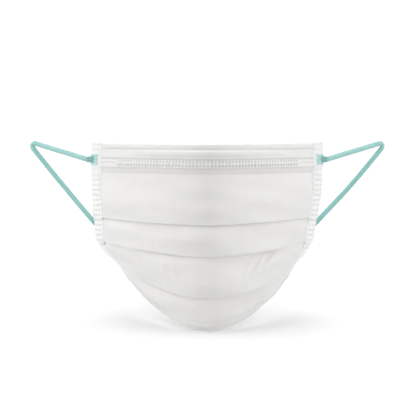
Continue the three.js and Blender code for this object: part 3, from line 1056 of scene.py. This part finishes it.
def fill(tree, node, inputs):
    """Fills a node's inputs. A node given for one is linked by its first output."""
    for key, value in inputs.items():
        if isinstance(value, bpy.types.Node):
            value = value.outputs[0]
        if isinstance(value, bpy.types.NodeSocket):
            tree.links.new(value, node.inputs[key])
        else:
            node.inputs[key].default_value = value


def add_node(tree, kind, inputs=None, **settings):
    """Adds a shader node, sets its properties and fills its inputs."""
    node = tree.nodes.new("ShaderNode" + kind)
    for key, value in settings.items():
        setattr(node, key, value)
    fill(tree, node, inputs or {})
    return node


def new_material(name, colour, roughness):
    """A material with an empty Principled shader, and its node tree and shader."""
    material = bpy.data.materials.new(name)
    material.use_nodes = True
    shader = material.node_tree.nodes["Principled BSDF"]
    fill(material.node_tree, shader, {"Base Color": linear(colour), "Roughness": roughness})
    return material, material.node_tree, shader


def flat_places(tree):
    """The cloth's own flat coordinates, in millimetres."""
    uv = add_node(tree, "UVMap", uv_map="cloth")
    return add_node(tree, "VectorMath", {0: uv, 1: [UV_SPAN / MM] * 3}, operation="MULTIPLY")


# %% [markdown]
# ### Spunbond nonwoven
# The cloth is spunbond polypropylene: endless filaments laid at random and bonded in small points.
# It is matt and slightly see-through, so light spreads inside it. A filament is a fiftieth of a
# millimetre thick, too fine to show, so its pattern is drawn 0.9 mm wide, with a faint cloud over
# it. The bond points stand 1.6 mm apart in diagonal rows. Both are slight bumps here, because they
# are a tenth of a millimetre deep at most.

# %% Spunbond nonwoven
BOND_PITCH = 1.6
BOND_RIM = (0.16, 0.34)
FIBRE_SIZE = 0.909
CLOUD_SIZE = 6.25
CLOUD_SHADE = 0.975
PRESSED_ROUGHNESS = 0.5


def nonwoven(name, colour, weld_and_shade_colour, roughness):
    """Matt spunbond cloth that gets smoother, glassier and darker where a weld pressed it. The darker
    colour is partly painted shade in the weld grooves and dots.
    """
    material, tree, shader = new_material(name, colour, roughness)
    flat = flat_places(tree)
    turned = add_node(tree, "Mapping", {"Vector": flat, "Rotation": (0, 0, math.radians(45))})
    bonds = add_node(
        tree,
        "TexVoronoi",
        {"Vector": turned, "Scale": 1 / BOND_PITCH, "Randomness": 0.0},
        voronoi_dimensions="2D",
    )
    point = add_node(
        tree,
        "MapRange",
        {"Value": bonds, "From Min": BOND_RIM[0], "From Max": BOND_RIM[1]},
        interpolation_type="SMOOTHSTEP",
    )
    fibres = add_node(
        tree, "TexNoise", {"Vector": flat, "Scale": 1 / FIBRE_SIZE, "Detail": 6, "Roughness": 0.7}
    )
    clouds = add_node(
        tree, "TexNoise", {"Vector": flat, "Scale": 1 / CLOUD_SIZE, "Detail": 3, "Roughness": 0.6}
    )
    height = add_node(tree, "Math", {0: fibres, 1: 0.7, 2: point}, operation="MULTIPLY_ADD")
    bump = add_node(tree, "Bump", {"Height": height, "Strength": 0.35, "Distance": 0.06 * MM})
    cloud = add_node(
        tree, "MapRange", {"Value": clouds, "From Min": 0.3, "From Max": 0.7, "To Min": CLOUD_SHADE}
    )
    tint = add_node(
        tree, "Mix", {0: 1.0, 6: linear(colour), 7: cloud}, data_type="RGBA", blend_type="MULTIPLY"
    )
    pressed = add_node(tree, "Attribute", attribute_name="pressed").outputs["Fac"]
    mixed = add_node(
        # Painted shade, in part: the pressed value mixes in the darker weld colour, which darkens weld
        # grooves, dots and pits beyond the shade their relief casts.
        tree, "Mix", {0: pressed, 6: tint.outputs[2], 7: linear(weld_and_shade_colour)}, data_type="RGBA"
    )
    smoother = add_node(
        tree, "MapRange", {"Value": pressed, "To Min": roughness, "To Max": PRESSED_ROUGHNESS}
    )
    finish = {
        "Base Color": mixed.outputs[2],
        "Roughness": smoother,
        "Normal": bump,
        "IOR": 1.49,
        "Subsurface Weight": 0.4,
        "Subsurface Radius": (1.0, 1.0, 1.0),
        "Subsurface Scale": 0.6 * MM,
        "Sheen Weight": 0.12,
        "Sheen Roughness": 0.5,
    }
    fill(tree, shader, finish)
    return material


# The second colour of each cloth is the pressed one: darker, partly because pressed cloth is thinner
# and glassier, partly as painted shade in the welds' grooves, dots and pits.
spunbond = nonwoven("spunbond_polypropylene_nonwoven", "#DEDDDC", "#BFBEBC", 0.85)
# A lighter copy of the spunbond for both hems. On the chin hem it is painted light that lifts the shade
# on the band facing down towards the floor.
hem_cloth_painted_lighter = nonwoven("spunbond_polypropylene_hem_strip", "#E4E3E2", "#C3C2C0", 0.8)
welded = nonwoven("ultrasonically_welded_nonwoven", "#EAEBEA", "#D0D1CF", 0.75)
print("cloth materials:", spunbond.name, hem_cloth_painted_lighter.name, welded.name)

# %% [markdown]
# ### Knitted elastic
# The loop is nylon knitted round spandex cores, dyed teal. Nylon yarn is a little glossy, but the
# stitches break the gloss up. The valleys between stitches are painted darker and more saturated,
# as painted shade, and the lower run of each loop is painted darker too. The yarn's own filaments
# are too fine to show, so they are drawn 0.4 mm wide.

# %% Knitted elastic
YARN_SIZE = 0.4


def knitted(name, colour, valley, roughness, value_name):
    """Dyed yarn with a second colour where the named value is low. On the loop that second colour is
    painted shade, in the stitch valleys and on the lower run.
    """
    material, tree, shader = new_material(name, colour, roughness)
    flat = flat_places(tree)
    stitch = add_node(tree, "Attribute", attribute_name=value_name).outputs["Fac"]
    yarn = add_node(tree, "TexNoise", {"Vector": flat, "Scale": 1 / YARN_SIZE, "Detail": 4})
    mixed = add_node(tree, "Mix", {0: stitch, 6: linear(valley), 7: linear(colour)}, data_type="RGBA")
    bump = add_node(tree, "Bump", {"Height": yarn, "Strength": 0.4, "Distance": 0.05 * MM})
    finish = {
        "Base Color": mixed.outputs[2],
        "Normal": bump,
        "IOR": 1.53,
        "Sheen Weight": 0.25,
        "Sheen Roughness": 0.4,
    }
    fill(tree, shader, finish)
    return material


# The second colour, #72AAA5, is painted shade in the stitch valleys and on the lower run.
elastic = knitted("knitted_nylon_spandex_elastic", "#A3CCC9", "#72AAA5", 0.7, "stitch")
fused = knitted("fused_nylon_spandex_elastic", "#8BC0BC", "#C4E8E5", 0.45, "pressed")
print("elastic materials:", elastic.name, fused.name)

# %% [markdown]
# ### Tinned steel wire
# The nose wire is flat tinned steel. It is hidden in the hem and shows only as a ridge, but it has its
# finish all the same: drawn metal with fine streaks along its length.

# %% Tinned steel wire
STREAK_SIZE = np.array([33.3, 33.3, 0.4]) * MM

wire, wire_tree, wire_shader = new_material("drawn_tinned_steel", "#C9CAC8", 0.35)
wire_place = add_node(wire_tree, "TexCoord").outputs["Object"]
wire_stretch = add_node(wire_tree, "Mapping", {"Vector": wire_place, "Scale": 1 / STREAK_SIZE})
wire_streaks = add_node(wire_tree, "TexNoise", {"Vector": wire_stretch, "Scale": 1, "Detail": 3})
wire_bump = add_node(
    wire_tree, "Bump", {"Height": wire_streaks, "Strength": 0.3, "Distance": 0.02 * MM}
)
fill(wire_tree, wire_shader, {"Metallic": 1.0, "Normal": wire_bump})
print("wire material:", wire.name)

# %% [markdown]
# ## Dressing the frame
# Each new piece gets its material, rides on the frame and takes the place of its plain solid.

# %% Pieces, materials and the solids they stand for


def dress(piece, material, slot_name, *nodes):
    """Gives a piece its material and puts it in the place of its solids."""
    piece.data.materials.clear()
    piece.data.materials.append(material)
    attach(piece, "root")
    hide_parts(*nodes)
    print(piece.name, "takes the place of", *nodes)


dress(panel, spunbond, "nonwoven", "pleated_panel")
dress(nose_hem, hem_cloth_painted_lighter, "nonwoven", "nose_band")
# Painted light: the chin hem takes the lighter hem cloth, which lifts the shade of its downward-facing
# band.
dress(chin_hem, hem_cloth_painted_lighter, "nonwoven", "chin_band")
dress(wire_strip, wire, "wire", "nose_wire")
for name in SIDES:
    dress(bindings[name], welded, "welded_edge", f"side_binding_{name}")
    dress(upper_pads[name], fused, "elastic", f"upper_weld_{name}")
    dress(lower_pads[name], fused, "elastic", f"lower_weld_{name}")
    dress(loops[name], elastic, "elastic", f"ear_loop_{name}")

# %% [markdown]
# The loops are cords of a known length, and the panel is a sheet of a known flat size. Their names
# are printed here.

# %% Cords and sheet
print("cords:", [cord.name for cord in loops.values()], "sheet:", panel.name)

# %% [markdown]
# ## Floor
# The photograph is a catalogue shot on white: no horizon, and one soft shadow below the chin. A wide
# sheet of white paper catches it. The camera looks almost along the floor, where a level sheet
# would show the shadow as a thin line, so the sheet rises a little towards the back. Its grain is
# drawn 1.8 mm wide, because a real one is too fine to show.

# %% Floor
FLOOR_GAP = 0.4 * MM
PAPER_GRAIN = 1.8 * MM
FLOOR_WIDTH = 1.6
FLOOR_FRONT = -0.42
FLOOR_BACK = 0.45
FLOOR_SLOPE = 0.14
CHIN_DEPTH = -45 * MM
floor_z = cad_box[0][2] - FLOOR_GAP
bpy.ops.object.select_all(action="DESELECT")
bpy.ops.mesh.primitive_grid_add(x_subdivisions=1, y_subdivisions=1, size=1)
floor = bpy.context.object
floor.name = "floor"
for vertex in floor.data.vertices:
    side, depth, _ = vertex.co
    depth = FLOOR_FRONT if depth < 0 else FLOOR_BACK
    vertex.co = (FLOOR_WIDTH * side, depth, floor_z + FLOOR_SLOPE * (depth - CHIN_DEPTH))
paper, paper_tree, paper_shader = new_material("white_paper_sweep", "#E1E1E1", 0.95)
paper_place = add_node(paper_tree, "TexCoord").outputs["Object"]
paper_grain = add_node(
    paper_tree, "TexNoise", {"Vector": paper_place, "Scale": 1 / PAPER_GRAIN, "Detail": 2}
)
paper_bump = add_node(
    paper_tree, "Bump", {"Height": paper_grain, "Strength": 0.05, "Distance": 0.05 * MM}
)
fill(paper_tree, paper_shader, {"Specular IOR Level": 0.1, "Normal": paper_bump})
floor.data.materials.append(paper)
print("floor under the chin, mm:", round(floor_z / MM, 1))

# %% [markdown]
# ## Lights
# Two broad suns and two softboxes light the mask. The top one leans over from behind and makes the
# soft shadow under the chin and the folds. The key one lights the front. The sides of the
# mask are lighter than its middle, so a softbox stands at each side. Angles are in degrees here.

# %% Lights
SUN_HEIGHT = 1.2

Sun = namedtuple("Sun", "name forward aside spread strength")
SUNS = [
    Sun("key_light", 58, 0, 60, 1.29),
    Sun("top_light", -10, -3, 82, 3.0),
]
for sun in SUNS:
    bpy.ops.object.light_add(
        type="SUN",
        location=(0, 0, SUN_HEIGHT),
        rotation=(math.radians(sun.forward), math.radians(sun.aside), 0),
    )
    lamp = bpy.context.object
    lamp.name = sun.name
    lamp.data.angle = math.radians(sun.spread)
    lamp.data.energy = sun.strength

Softbox = namedtuple("Softbox", "name x y z width height watts")
SOFTBOXES = [
    Softbox("left_softbox", -1.3, -0.05, 0.15, 1.0, 1.2, 10.5),
    Softbox("right_softbox", 1.3, -0.05, 0.15, 1.0, 1.2, 10.5),
]
for box in SOFTBOXES:
    bpy.ops.object.light_add(type="AREA", location=(box.x, box.y, box.z))
    lamp = bpy.context.object
    lamp.name = box.name
    lamp.data.shape = "RECTANGLE"
    lamp.data.size, lamp.data.size_y = box.width, box.height
    lamp.data.energy = box.watts
    towards = -np.array([box.x, box.y, box.z])
    flat_way = math.hypot(towards[0], towards[1])
    lamp.rotation_euler = (math.atan2(flat_way, -towards[2]), 0, math.atan2(-towards[0], towards[1]))
print("lights:", [light.name for light in SUNS + SOFTBOXES])

# %% [markdown]
# ## The surround
# The world is what the camera sees behind the mask, and it also lights the mask. The two are kept
# apart by asking what kind of ray looks: the camera sees plain white, and every other ray finds a
# dim room that is a little brighter above and at both sides.

# %% The surround
SURROUND_UP = 0.15
SURROUND_SIDES = 0.1
SURROUND_SEEN = 1.05

world = bpy.data.worlds.new("white_surround")
bpy.context.scene.world = world
world.use_nodes = True
world_tree = world.node_tree
surround = world_tree.nodes["Background"]
direction = add_node(world_tree, "TexCoord").outputs["Generated"]
parts = add_node(world_tree, "SeparateXYZ", {0: direction}).outputs
up = add_node(world_tree, "Math", {0: parts["Z"], 1: 0.0}, operation="MAXIMUM")
ceiling = add_node(world_tree, "Math", {0: up, 1: SURROUND_UP}, operation="MULTIPLY")
aside = add_node(world_tree, "Math", {0: parts["X"], 1: parts["X"]}, operation="MULTIPLY")
room = add_node(world_tree, "Math", {0: aside, 1: SURROUND_SIDES, 2: ceiling}, operation="MULTIPLY_ADD")
seen = add_node(world_tree, "LightPath").outputs["Is Camera Ray"]
strength = add_node(world_tree, "Mix", {0: seen, 2: room, 3: SURROUND_SEEN}, data_type="FLOAT")
fill(world_tree, surround, {"Color": (1, 1, 1, 1), "Strength": strength})
print("surround:", SURROUND_UP, "above,", SURROUND_SIDES, "aside,", SURROUND_SEEN, "as seen")
